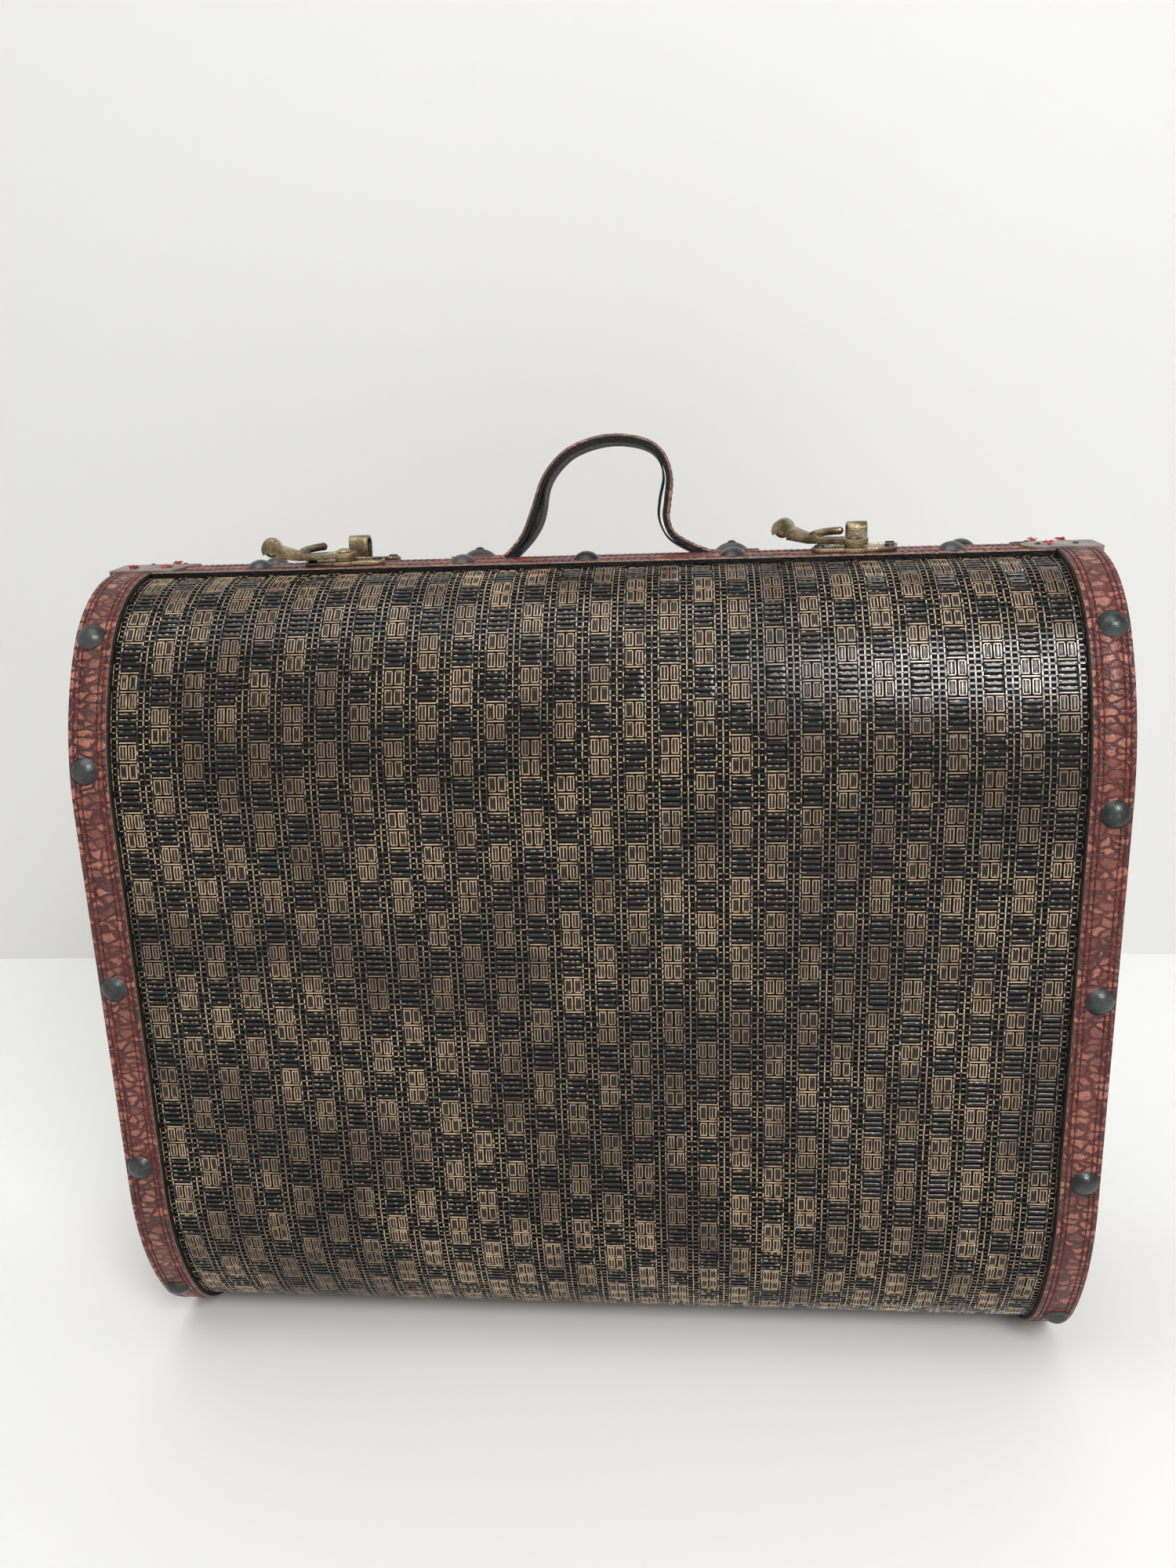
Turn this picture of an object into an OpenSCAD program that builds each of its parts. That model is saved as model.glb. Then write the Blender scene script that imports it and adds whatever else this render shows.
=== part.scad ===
// Vintage hard suitcase, standing on its hinge side, with the seam plane at y = 0.
// Two mirrored half shells of bent board on D-shaped end boards, covered in embossed
// leatherette, edged with stitched leather and closed on top by two horn latches.
// Millimetres, +Z up, origin under the middle of the case. The front half is at y < 0.

/* [Case] */
// Width over the leather edge bands
case_w = 400; // [360:5:440]
// Height up to the front edge of the top rim strip
case_h = 343.4; // [320:0.1:370]
// Depth of each curved corner, from the rim strip to the front face
curve_depth = 59; // [57:1:66]
// Height of each curved corner
curve_h = 89; // [80:1:100]
// Radius of the curve next to the rim strip
crown_r = 54; // [46:1:56]
// Slope of the top rim up to the seam, in degrees
crown_slope = 5; // [3:0.5:7]
// Gap between the two halves at the seam
seam_gap = 0.6; // [0.4:0.1:1]

/* [Walls] */
// Thickness of the leather bands and rim strips
band_t = 2.8; // [2.4:0.1:3.4]
// Width of the leather bands at the two ends
band_w = 16; // [12:1:20]
// Width of the leather rim strips along the seam
rim_w = 16; // [15:0.5:18]
// Thickness of the rim strips on the two end faces
end_rim_t = 1.6; // [1:0.1:2.4]
// Thickness of the leatherette covering
cover_t = 0.8; // [0.6:0.1:1.2]
// Thickness of the bent board that makes the curved wall
panel_t = 3; // [2.5:0.1:4]
// Thickness of the end boards
board_t = 6; // [5:0.5:8]
// Thickness of the paper lining
lining_t = 0.5; // [0.4:0.1:0.8]
// Clearance between boards, lining and coverings that lie together
lay_gap = 0.05; // [0.03:0.01:0.1]
// Gap where the end of a strip butts on its neighbour
butt_gap = 0.1; // [0.05:0.05:0.3]

/* [Nails and corners] */
// Diameter of a domed nail head
nail_d = 11; // [9:0.5:12]
// Height of a domed nail head
nail_h = 2.9; // [2:0.1:3.5]
// Distance of the band nails from the ends of the case
nail_edge = 6; // [6:0.5:8]
// Heights of the nails in the left bands, which were set by hand
left_nail_heights = [27, 99, 181, 272, 322]; // [20:1:324]
// Heights of the nails in the right bands
right_nail_heights = [23, 100, 178, 252, 319]; // [20:1:324]
// Places of the nails along the front half's top rim strip, as shares of half the width
front_rim_nails = [-0.6975, -0.265, -0.0075, 0.2925, 0.7275]; // [-0.8:0.0025:0.8]
// Places of the nails along the back half's top rim strip, as shares of half the width
back_rim_nails = [-0.69, 0.7625]; // [-0.8:0.0025:0.8]
// Sheet thickness of the corner plates
corner_t = 0.8; // [0.6:0.1:1.2]
// Length of a corner plate along the top
corner_l = 30; // [24:1:36]
// Drop of a corner plate down the end of the case
corner_drop = 13; // [10:1:18]
// Diameter of the pins that hold a corner plate
corner_pin_d = 2.8; // [2:0.2:3.4]
// Distance of a corner plate's outer pin from the end of the case
corner_pin_in = 8; // [6:0.5:9]
// Margin of leather left bare along each side of a corner plate
corner_margin = 0.5; // [0.3:0.1:1]

/* [Handle] */
// Distance of the left rosette from the middle of the case
left_rosette_out = 48.5; // [47:0.5:54]
// Distance of the right rosette from the middle of the case
right_rosette_out = 58.5; // [56:0.5:62]
// Thickness of the handle strap
strap_t = 3.6; // [3:0.1:4]
// Length of strap left past the middle of each rosette
strap_foot = 10.9; // [9:0.1:13]
// Rise of the handle strap above the top rim
handle_rise = 47; // [42:1:54]
// Diameter of a rosette
rosette_d = 13.8; // [12:0.2:15]
// Height of a rosette
rosette_h = 3; // [2.4:0.1:3.6]
// Number of flutes round a rosette
rosette_flutes = 12; // [8:1:16]
// Diameter of the screw head on a rosette
rosette_screw_d = 4.4; // [3.6:0.2:5]

/* [Horn latches] */
// Distance of the left latch's pivot from the middle of the case
left_latch_out = 103; // [98:0.5:110]
// Distance of the right latch's pivot from the middle of the case
right_latch_out = 107; // [100:0.5:112]
// How far the left horn stands open from closed, in degrees
left_swing = 78; // [60:1:85]
// How far the right horn stands open from closed, in degrees
right_swing = 46; // [46:1:60]
// Length of a latch plate
latch_plate_l = 34; // [32:1:38]
// Width of a latch plate
latch_plate_w = 13; // [12:0.2:14]
// Thickness of a latch plate
latch_plate_t = 1.8; // [1.4:0.1:2]
// Thickness of the horn's flat arm
horn_t = 2.2; // [1.8:0.1:2.6]
// Radius from the pivot to the far end of the thumb curl
horn_reach = 33; // [30:0.5:35]
// Diameter of the thumb curl
curl_d = 8.4; // [7:0.2:9]
// Thickness of the metal in the thumb curl
curl_t = 3; // [2.4:0.1:3.2]
// Radius from the pivot to the middle of the hooked finger
finger_r = 16.8; // [16:0.1:17.4]
// Width of the thumb at the curl
thumb_w = 8; // [6.4:0.2:9]
// Width of the arm at its narrowest
waist_w = 5.4; // [4.4:0.2:6.4]
// Diameter of the boss round the pivot
boss_d = 11; // [10:0.2:12]
// Direction of the closed horn's arm, in degrees from the length of the case
arm_a = 119; // [117:1:122]
// Direction of the closed horn's finger tip, in degrees
finger_tip_a = 58; // [56:1:60]
// Diameter of the hooked finger
finger_d = 3.2; // [2.6:0.1:3.4]
// Diameter of the rivet that the horn turns on
rivet_d = 3.8; // [3:0.1:4.4]
// Clearance of the turning horn over the screws of its plate
horn_clear = 0.4; // [0.3:0.05:0.6]
// Play of the horn between the rivet's collar and head
horn_play = 0.3; // [0.3:0.02:0.36]
// Radial clearance of the running fits
run_gap = 0.05; // [0.02:0.01:0.08]
// Offset of the staple from the pivot along the case
staple_x = 2.8; // [2:0.2:3.4]
// Width of the staple along the case
staple_w = 8; // [7:0.5:8.5]
// Clear span of the staple that the finger passes through
staple_span = 6.4; // [6:0.1:7]
// Height of the staple above the rim strip
staple_h = 11; // [10.8:0.1:12]
// Thickness of the staple's strap
staple_t = 1.3; // [1:0.1:1.5]
// Diameter of the latch screws' heads
screw_d = 4.2; // [3.6:0.2:4.8]
// Height of the latch screws' heads
screw_h = 0.8; // [0.5:0.1:0.9]

/* [Hinges] */
// Distance of each hinge from the middle of the case
hinge_x = 110; // [80:5:140]
// Length of a hinge
hinge_l = 34; // [28:1:42]
// Diameter of the hinge knuckles
knuckle_d = 4.4; // [4:0.1:4.6]
// Diameter of the hinge pins
hinge_pin_d = 1.8; // [1.4:0.1:2.2]
// Width of a hinge leaf
leaf_w = 12.5; // [11:0.5:13.5]
// Clearance of the knuckles over the ground
ground_gap = 0.1; // [0.1:0.05:0.3]
// Clearance round the knuckles and between them
knuckle_gap = 0.4; // [0.3:0.05:0.5]
// Diameter of the hinge screws' heads
hinge_screw_d = 3; // [2.4:0.2:3.6]
// Length of the hinge screws in the board
hinge_screw_l = 2; // [1.5:0.1:2.2]
// Angle of the bevels that let the bottom rims fold together
rim_bevel = 35; // [32:1:37]

/* [Hidden] */
$fn = 64;
cut = 1;
tuck_depth = 4;
half_gap = seam_gap / 2;
half_d = rim_w + curve_depth;
end_x = case_w / 2;
board_x = end_x - cover_t;

// Insets of the layers from the outer face of the leather
cover_in = band_t;
panel_in = cover_in + cover_t;
board_in = panel_in + panel_t;

// The curve next to the rim and the flatter curve that runs into the front face
crown_c = [-rim_w + crown_r * sin(crown_slope), case_h - crown_r * cos(crown_slope)];
across = crown_c[0] + half_d;
below = crown_c[1] - (case_h - curve_h);
front_r = (across * across + below * below - crown_r * crown_r) / (2 * (across - crown_r));
front_c = [-half_d + front_r, case_h - curve_h];
join_a = atan2(crown_c[1] - front_c[1], crown_c[0] - front_c[0]);
crown_a = 90 + crown_slope;
flat_a = 180;

// Middle of a top rim strip, on its sloping face
rim_mid = (rim_w + half_gap) / 2;
rim_mid_z = case_h + (rim_w - rim_mid) * tan(crown_slope);
rim_face_w = (rim_w - half_gap) / cos(crown_slope);

// Places along the top
left_rosette_x = -left_rosette_out;
right_rosette_x = right_rosette_out;
left_latch_x = -left_latch_out;
right_latch_x = right_latch_out;

// Levels of a latch above the rim strip
horn_z = latch_plate_t + screw_h + horn_clear;
horn_top = horn_z + horn_t;
finger_z = horn_top + finger_d / 4;
rivet_collar_d = 2 * rivet_d;
rivet_head_d = 1.7 * rivet_d;
plate_end_r = latch_plate_w * 0.36;
screw_offset = latch_plate_l / 2 - screw_d / 2 - 1;
// The finger's arc sags a little within the staple, and it crosses there to the other slope
finger_sag = 0.2;
finger_y = sqrt(finger_r * finger_r - staple_x * staple_x) - finger_sag;
staple_y = 2 * rim_mid * cos(crown_slope) - finger_y * cos(2 * crown_slope) + finger_z * sin(2 * crown_slope);

// Hinge pin's height, with the knuckles just clear of the ground
hinge_z = knuckle_d / 2 + ground_gap;
leaf_z = cover_in * cos(crown_slope);
leaf_t = cover_t * cos(crown_slope) - lay_gap;
bevel_z = hinge_z + half_gap;
knuckle_l = (hinge_l - 2 * knuckle_gap) / 3;

// Corner plates and the far end of the rim strips
corner_w = rim_face_w - 2 * corner_margin;
end_face = end_x + end_rim_t;
rim_reach = end_x - band_w - butt_gap;

// Flutes and screw seat of a rosette
rosette_seat = rosette_h * 0.8;
flute_r = PI * rosette_d / rosette_flutes / 4;
flute_z = rosette_h * 0.42;
flute_tilt = 62;
flute_l = rosette_d * 0.72;

// Middle line of the handle strap between the rosettes, as shares of the span and of the rise
strap_rest = strap_t / 2 - band_t + 2 * lay_gap;
strap_w = rim_face_w - 2 * butt_gap;
handle_span = right_rosette_x - left_rosette_x;
handle_line = [[0.09, 0.003], [0.122, 0.02], [0.19, 0.19], [0.235, 0.42], [0.28, 0.68], [0.355, 0.87], [0.445, 0.965],
    [0.55, 1], [0.66, 0.96], [0.725, 0.86], [0.755, 0.68], [0.748, 0.47], [0.742, 0.32], [0.765, 0.18],
    [0.825, 0.085], [0.9, 0.012]];
strap_steps = 5;
rosette_clear = rosette_d / 2 + 0.6;

leather = "#7c3328";
leatherette = "#3d352c";
hardboard = "#8a6a48";
lining_paper = "#b9a58a";
old_brass = "#84734f";
gunmetal = "#3a3735";
tin = "#7f7a74";

// Helpers for the profile, which is drawn with x along the case's depth and y up

function toward(a) = [cos(a), sin(a)];

// Height of the sloping top at depth y
function top_at(y, inset) = case_h + (rim_w + y) * tan(crown_slope) - inset / cos(crown_slope);

// Depth and tilt of the outer profile at a height, for what is nailed to the bands
function upper(z) = max(z, case_h - z);
function join_z() = crown_c[1] + crown_r * sin(join_a);
function tilt_upper(z) = z <= case_h - curve_h ? 0
    : z < join_z() ? asin((z - front_c[1]) / front_r)
    : asin((z - crown_c[1]) / crown_r);
function tilt_at(z) = (z >= case_h / 2 ? 1 : -1) * tilt_upper(upper(z));
function depth_at(z) = let (u = upper(z), t = tilt_upper(u))
    u <= case_h - curve_h ? -half_d
    : u < join_z() ? front_c[0] - front_r * cos(t)
    : crown_c[0] - crown_r * cos(t);

// Round part of the outline between two directions from its centre, with its chord tucked into the core
module round_part(c, r, a0, a1) {
    half = (a1 - a0) / 2;
    mid = (a0 + a1) / 2;
    tuck = r * cos(half) - tuck_depth;
    intersection() {
        translate(c) circle(r);
        polygon([c + r * toward(a0), c + r / cos(half) * toward(mid), c + r * toward(a1),
            c + tuck * toward(mid)]);
    }
}

module corner_rounds(inset) {
    round_part(crown_c, crown_r - inset, crown_a, join_a);
    round_part(front_c, front_r - inset, join_a, flat_a);
}

// Outline of the front half, drawn in by an inset, with its open side at y = edge
module half_outline(inset, edge = -half_gap) {
    p1 = crown_c + (crown_r - inset) * toward(crown_a);
    p2 = crown_c + (crown_r - inset) * toward(join_a);
    p3 = front_c + (front_r - inset) * toward(flat_a);
    low = inset * cos(crown_slope);
    polygon([[edge, top_at(edge, inset)], p1, p2, p3, [p3[0], case_h - p3[1]],
        [p2[0], case_h - p2[1]], [p1[0], low], [edge, low]]);
    corner_rounds(inset);
    translate([0, case_h]) mirror([0, 1]) corner_rounds(inset);
}

// Layer between two insets
module layer_outline(outer, inner) {
    difference() {
        half_outline(outer);
        half_outline(inner, cut);
    }
}

// Leather layer, bevelled at the bottom seam so that the halves can fold open
module leather_outline() {
    difference() {
        layer_outline(0, band_t);
        bottom_bevel();
    }
}

module bottom_bevel() {
    run = bevel_z / tan(rim_bevel);
    polygon([[-run, 0], [0, bevel_z], [cut, bevel_z], [cut, -cut], [-run - cut / tan(rim_bevel), -cut]]);
}

module along_x(x0, x1) {
    translate([x0, 0, 0]) rotate([90, 0, 90]) linear_extrude(x1 - x0) children();
}

module back_side() {
    mirror([0, 1, 0]) children();
}

module left_side() {
    mirror([1, 0, 0]) children();
}

// Place on the front half's top rim: z out of its sloping face, y towards the seam
module on_rim(x) {
    translate([x, -rim_mid, rim_mid_z]) rotate([crown_slope, 0, 0]) children();
}

// Place on the front half's right band at a height, z out of the leather
module on_band(z) {
    translate([end_x - nail_edge, depth_at(z), z]) rotate([90 - tilt_at(z), 0, 0]) children();
}

// Low dome, a slice of a ball
module dome(d, h) {
    ball = (d * d / 4 + h * h) / (2 * h);
    intersection() {
        translate([0, 0, h - ball]) sphere(ball);
        cylinder(d = d, h = h);
    }
}

// Shells

module hinge_notches(r) {
    for (s = [-1, 1])
        along_x(s * hinge_x - hinge_l / 2 - knuckle_gap, s * hinge_x + hinge_l / 2 + knuckle_gap)
            translate([0, hinge_z]) circle(r);
}

module half_panel() {
    color(hardboard) difference() {
        along_x(-board_x, board_x) layer_outline(panel_in, board_in);
        hinge_notches(knuckle_d / 2 + knuckle_gap);
        for (side = [-1, 1]) on_hinge(side) at_hinge_screws()
            cylinder(d = hinge_screw_d / 2 + 2 * lay_gap, h = leaf_t + hinge_screw_l + lay_gap);
    }
}

module half_end() {
    color(hardboard) along_x(board_x - board_t, board_x) half_outline(board_in + lay_gap);
}

module half_lining() {
    reach = board_x - board_t - lay_gap;
    color(lining_paper) difference() {
        along_x(-reach, reach) half_outline(board_in + lay_gap);
        along_x(-reach + lining_t, reach - lining_t) half_outline(board_in + lay_gap + lining_t, cut);
    }
}

module leaf_seats() {
    side = knuckle_gap / 2;
    for (s = [-1, 1])
        translate([s * hinge_x - hinge_l / 2 - side, -leaf_w - side, leaf_z - cut])
            cube([hinge_l + 2 * side, leaf_w + side, cover_t + cut]);
}

module half_cover() {
    color(leatherette) difference() {
        along_x(-board_x, board_x) layer_outline(cover_in, panel_in - lay_gap);
        hinge_notches(knuckle_d / 2 + knuckle_gap);
        leaf_seats();
    }
}

module half_end_cover() {
    color(leatherette) along_x(board_x, end_x) half_outline(cover_in + lay_gap);
}

// Leather trim

module half_band() {
    color(leather) along_x(end_x - band_w, end_x) leather_outline();
}

// Part of the leather layer on the rim, above or below the middle
module rim_stretch(x0, x1, top) {
    along_x(x0, x1) intersection() {
        leather_outline();
        translate([-rim_w, top ? case_h / 2 : -cut]) square([rim_w + cut, case_h / 2 + rim_w]);
    }
}

module half_top_rim() {
    color(leather) rim_stretch(-rim_reach, rim_reach, true);
}

// The back half's strip stops where the handle takes its place
module split_top_rim() {
    color(leather) {
        rim_stretch(-rim_reach, left_rosette_x - strap_foot - butt_gap, true);
        rim_stretch(right_rosette_x + strap_foot + butt_gap, rim_reach, true);
    }
}

module half_bottom_rim() {
    color(leather) difference() {
        rim_stretch(-rim_reach, rim_reach, false);
        hinge_notches(knuckle_d / 2 + knuckle_gap);
    }
}

module half_end_rim() {
    color(leather) along_x(end_x, end_x + end_rim_t) difference() {
        intersection() {
            half_outline(0);
            translate([-rim_w, -cut]) square([rim_w, case_h + rim_w]);
        }
        bottom_bevel();
    }
}

// Corner plates and nails

module half_corner() {
    round_x = end_face + corner_t - corner_l + corner_w / 2;
    near = -half_gap - corner_margin;
    far = -rim_w + corner_margin;
    color(tin) {
        on_rim(0) linear_extrude(corner_t) {
            translate([round_x, 0]) circle(d = corner_w);
            translate([round_x, -corner_w / 2]) square([end_face + corner_t - round_x, corner_w]);
        }
        along_x(end_face, end_face + corner_t) polygon([[far, top_at(far, -corner_t / 2)],
            [near, top_at(near, -corner_t / 2)], [near, case_h - corner_drop], [far, case_h - corner_drop]]);
    }
}

module half_corner_pins() {
    color(gunmetal) for (side = [0, 1]) mirror([side, 0, 0])
        for (along = [corner_pin_in, corner_l - corner_w / 2])
            on_rim(end_face - along) translate([0, 0, corner_t]) dome(corner_pin_d, corner_pin_d / 4);
}

module half_nails(rim_places) {
    color(gunmetal) {
        left_side() for (z = left_nail_heights) on_band(z) dome(nail_d, nail_h);
        for (z = right_nail_heights) on_band(z) dome(nail_d, nail_h);
        for (share = rim_places) on_rim(share * end_x) dome(nail_d, nail_h);
    }
}

// Handle, drawn on the back half's rim with its middle line in the plane of x and z

function strap_points() = concat(
    [[left_rosette_x - strap_foot, strap_rest], [left_rosette_x, strap_rest],
        [left_rosette_x + rosette_clear, strap_rest]],
    [for (p = handle_line)
        [left_rosette_x + p[0] * handle_span, strap_rest + p[1] * (handle_rise - strap_rest)]],
    [[right_rosette_x - rosette_clear, strap_rest], [right_rosette_x, strap_rest],
        [right_rosette_x + strap_foot, strap_rest]]);

// Point of a smooth curve through four neighbours
function through(a, b, c, d, t) = 0.5 * (2 * b + (c - a) * t + (2 * a - 5 * b + 4 * c - d) * t * t
    + (3 * b - a - 3 * c + d) * t * t * t);

function smooth(p) = let (last = len(p) - 1) concat(
    [for (i = [0 : last - 1], s = [0 : strap_steps - 1])
        through(p[max(i - 1, 0)], p[i], p[i + 1], p[min(i + 2, last)], s / strap_steps)],
    [p[last]]);

function sideways(p, i) = let (
        ahead = p[min(i + 1, len(p) - 1)] - p[max(i - 1, 0)],
        unit = ahead / norm(ahead)) [-unit[1], unit[0]];

module handle_strap() {
    line = smooth(strap_points());
    outer = [for (i = [0 : len(line) - 1]) line[i] + sideways(line, i) * strap_t / 2];
    inner = [for (i = [len(line) - 1 : -1 : 0]) line[i] - sideways(line, i) * strap_t / 2];
    color(leather) back_side() on_rim(0) rotate([90, 0, 0])
        linear_extrude(strap_w, center = true) polygon(concat(outer, inner));
}

// Pressed rosette with flutes that fan out from its screw
module rosette(x) {
    color(gunmetal) back_side() on_rim(x) translate([0, 0, strap_rest + strap_t / 2]) difference() {
        dome(rosette_d, rosette_h);
        for (i = [0 : rosette_flutes - 1])
            rotate([0, 0, i * 360 / rosette_flutes]) translate([rosette_d / 2, 0, flute_z])
                rotate([0, -flute_tilt, 0]) cylinder(r = flute_r, h = flute_l, center = true);
        translate([0, 0, rosette_seat]) cylinder(d = rosette_screw_d + 2 * run_gap, h = rosette_h);
    }
}

module handle_screws() {
    color(gunmetal) for (x = [left_rosette_x, right_rosette_x])
        back_side() on_rim(x) translate([0, 0, strap_rest + strap_t / 2 + rosette_seat])
            dome(rosette_screw_d, rosette_screw_d / 3);
}

// Horn latches

// Outline of a latch plate, with narrow round ends and a round swell in the middle
module latch_plate_outline() {
    for (s = [-1, 1]) translate([s * (latch_plate_l / 2 - plate_end_r), 0]) circle(plate_end_r);
    square([latch_plate_l - 2 * plate_end_r, 2 * plate_end_r], center = true);
    circle(d = latch_plate_w);
}

module horn_plate() {
    color(old_brass) linear_extrude(latch_plate_t) difference() {
        latch_plate_outline();
        circle(d = rivet_d + 2 * run_gap);
    }
}

module staple_plate_at(x) {
    color(old_brass) back_side() on_rim(x + staple_x) linear_extrude(latch_plate_t) latch_plate_outline();
}

module plate_screw() {
    translate([0, 0, latch_plate_t]) difference() {
        cylinder(d1 = screw_d, d2 = screw_d * 0.8, h = screw_h);
        translate([0, 0, screw_h]) cube([2 * screw_d, screw_d / 6, screw_h], center = true);
    }
}

module plate_screws(x) {
    color(gunmetal) for (s = [-1, 1]) on_rim(x + s * screw_offset) plate_screw();
}

module horn_plate_screws() {
    for (x = [left_latch_x, right_latch_x]) plate_screws(x);
}

module staple_screws() {
    back_side() for (x = [left_latch_x, right_latch_x]) plate_screws(x + staple_x);
}

module horn_rivet() {
    color(old_brass) {
        cylinder(d = rivet_d, h = horn_top + horn_play + rivet_d / 8);
        translate([0, 0, latch_plate_t]) cylinder(d = rivet_collar_d, h = horn_z - latch_plate_t - horn_play);
        translate([0, 0, horn_top + horn_play]) dome(rivet_head_d, rivet_head_d / 5);
    }
}

// Side view of the horn: flat arm, rise and thumb curl, with x outwards from the pivot
module horn_side() {
    curl_r = curl_d / 2;
    curl_c = [horn_reach - curl_r, horn_z + 1.3 * curl_r];
    foot = horn_reach - curl_d - 2 * curl_r;
    translate([-boss_d, horn_z]) square([boss_d + foot, horn_t]);
    polygon([[foot - curl_r / 2, horn_z], [foot + curl_r / 2, horn_z], curl_c + curl_r * toward(246),
        curl_c + curl_r * toward(170), [foot - curl_r / 2, horn_top]]);
    intersection() {
        difference() {
            translate(curl_c) circle(curl_r);
            translate(curl_c + curl_r * [0.1, -0.1]) circle(curl_r - curl_t);
        }
        polygon([curl_c, curl_c + 2 * curl_r * toward(240), curl_c + 2 * curl_r * toward(150),
            curl_c + 2 * curl_r * toward(60), curl_c + 2 * curl_r * toward(-30)]);
    }
}

// Plan of the horn: boss round the pivot, waisted arm and broad thumb
module horn_plan() {
    root = boss_d * 0.38;
    waist = waist_w / 2;
    thumb = thumb_w / 2;
    far = horn_reach + cut;
    circle(d = boss_d);
    polygon([[0, -root], [horn_reach / 2, -waist], [horn_reach * 0.8, -thumb * 0.9], [far, -thumb],
        [far, thumb], [horn_reach * 0.8, thumb * 0.9], [horn_reach / 2, waist], [0, root]]);
}

// Horn in its closed place, turned from there about the rivet
module horn(turn) {
    color(old_brass) rotate([0, 0, turn]) difference() {
        union() {
            rotate([0, 0, arm_a]) intersection() {
                linear_extrude(horn_reach) horn_plan();
                rotate([90, 0, 0]) linear_extrude(horn_reach, center = true) horn_side();
            }
            translate([0, 0, finger_z]) {
                rotate([0, 0, finger_tip_a]) rotate_extrude(angle = arm_a - finger_tip_a)
                    translate([finger_r, 0]) circle(d = finger_d);
                rotate([0, 0, finger_tip_a]) translate([finger_r, 0, 0]) sphere(d = finger_d * 1.05);
            }
        }
        cylinder(d = rivet_d + 2 * run_gap, h = 4 * horn_top, center = true);
    }
}

module horn_at(x, turn) {
    on_rim(x) horn(turn);
}

// Staple: an arch of strap across the rim that the finger passes through along x
module staple_at(x) {
    color(old_brass) back_side() on_rim(x + staple_x) translate([-staple_w / 2, staple_y, 0])
        rotate([90, 0, 90]) linear_extrude(staple_w) difference() {
            arch(staple_span + 2 * staple_t, staple_h, latch_plate_t);
            arch(staple_span, staple_h - staple_t, latch_plate_t - cut);
        }
}

// Upright outline with rounded shoulders
module arch(w, h, from) {
    shoulder = w * 0.36;
    translate([-w / 2, from]) square([w, h - shoulder - from]);
    translate([-w / 2 + shoulder, from]) square([w - 2 * shoulder, h - from]);
    for (s = [-1, 1]) translate([s * (w / 2 - shoulder), h - shoulder]) circle(shoulder);
}

// Hinges under the bottom rim strips, drawn for the front half with the pin along x

module on_hinge(side) {
    translate([side * hinge_x, 0, 0]) children();
}

module at_hinge_screws() {
    for (s = [-1, 1])
        translate([s * hinge_l / 4, -(leaf_w + knuckle_d / 2 + knuckle_gap) / 2, leaf_z]) children();
}

module along_pin(d, l) {
    translate([-l / 2, 0, hinge_z]) rotate([0, 90, 0]) cylinder(d = d, h = l);
}

// Leaf with the knuckles named in own, counted from the middle one
module hinge_leaf(own) {
    near = knuckle_d / 2 + knuckle_gap;
    color(old_brass) difference() {
        union() {
            translate([-hinge_l / 2, -leaf_w, leaf_z]) cube([hinge_l, leaf_w - near, leaf_t]);
            for (i = own) translate([i * (knuckle_l + knuckle_gap), 0, 0]) {
                translate([-knuckle_l / 2, -leaf_w / 2, leaf_z]) cube([knuckle_l, leaf_w / 2, leaf_t]);
                along_pin(knuckle_d, knuckle_l);
            }
        }
        along_pin(hinge_pin_d + 2 * run_gap, 2 * hinge_l);
        at_hinge_screws() translate([0, 0, -cut])
            cylinder(d = hinge_screw_d + 2 * lay_gap, h = 2 * cut + leaf_t);
    }
}

module hinge_pin() {
    color(old_brass) along_pin(hinge_pin_d, hinge_l);
}

module half_hinge_screws() {
    color(gunmetal) for (side = [-1, 1]) on_hinge(side) at_hinge_screws() {
        cylinder(d = hinge_screw_d, h = leaf_t);
        cylinder(d = hinge_screw_d / 2, h = leaf_t + hinge_screw_l);
    }
}

back_side() half_panel();  // back_panel
back_side() left_side() half_end();  // back_left_end
back_side() half_end();  // back_right_end
back_side() half_lining();  // back_lining
back_side() half_cover();  // back_cover
back_side() left_side() half_end_cover();  // back_left_end_cover
back_side() half_end_cover();  // back_right_end_cover
back_side() left_side() half_band();  // back_left_band
back_side() half_band();  // back_right_band
back_side() split_top_rim();  // back_top_rim
back_side() half_bottom_rim();  // back_bottom_rim
back_side() left_side() half_end_rim();  // back_left_rim
back_side() half_end_rim();  // back_right_rim
back_side() left_side() half_corner();  // back_left_corner
back_side() half_corner();  // back_right_corner
back_side() half_corner_pins();  // back_corner_pins
back_side() half_nails(back_rim_nails);  // back_nails
handle_strap();
rosette(left_rosette_x);  // left_rosette
rosette(right_rosette_x);  // right_rosette
handle_screws();
staple_plate_at(left_latch_x);  // left_staple_plate
staple_plate_at(right_latch_x);  // right_staple_plate
staple_at(left_latch_x);  // left_staple
staple_at(right_latch_x);  // right_staple
staple_screws();
back_side() on_hinge(-1) hinge_leaf([-1, 1]);  // left_hinge_back_leaf
back_side() on_hinge(1) hinge_leaf([-1, 1]);  // right_hinge_back_leaf
on_hinge(-1) hinge_pin();  // left_hinge_pin
on_hinge(1) hinge_pin();  // right_hinge_pin
back_side() half_hinge_screws();  // back_hinge_screws
half_panel();  // front_panel
left_side() half_end();  // front_left_end
half_end();  // front_right_end
half_lining();  // front_lining
half_cover();  // front_cover
left_side() half_end_cover();  // front_left_end_cover
half_end_cover();  // front_right_end_cover
left_side() half_band();  // front_left_band
half_band();  // front_right_band
half_top_rim();  // front_top_rim
half_bottom_rim();  // front_bottom_rim
left_side() half_end_rim();  // front_left_rim
half_end_rim();  // front_right_rim
left_side() half_corner();  // front_left_corner
half_corner();  // front_right_corner
half_corner_pins();  // front_corner_pins
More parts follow.
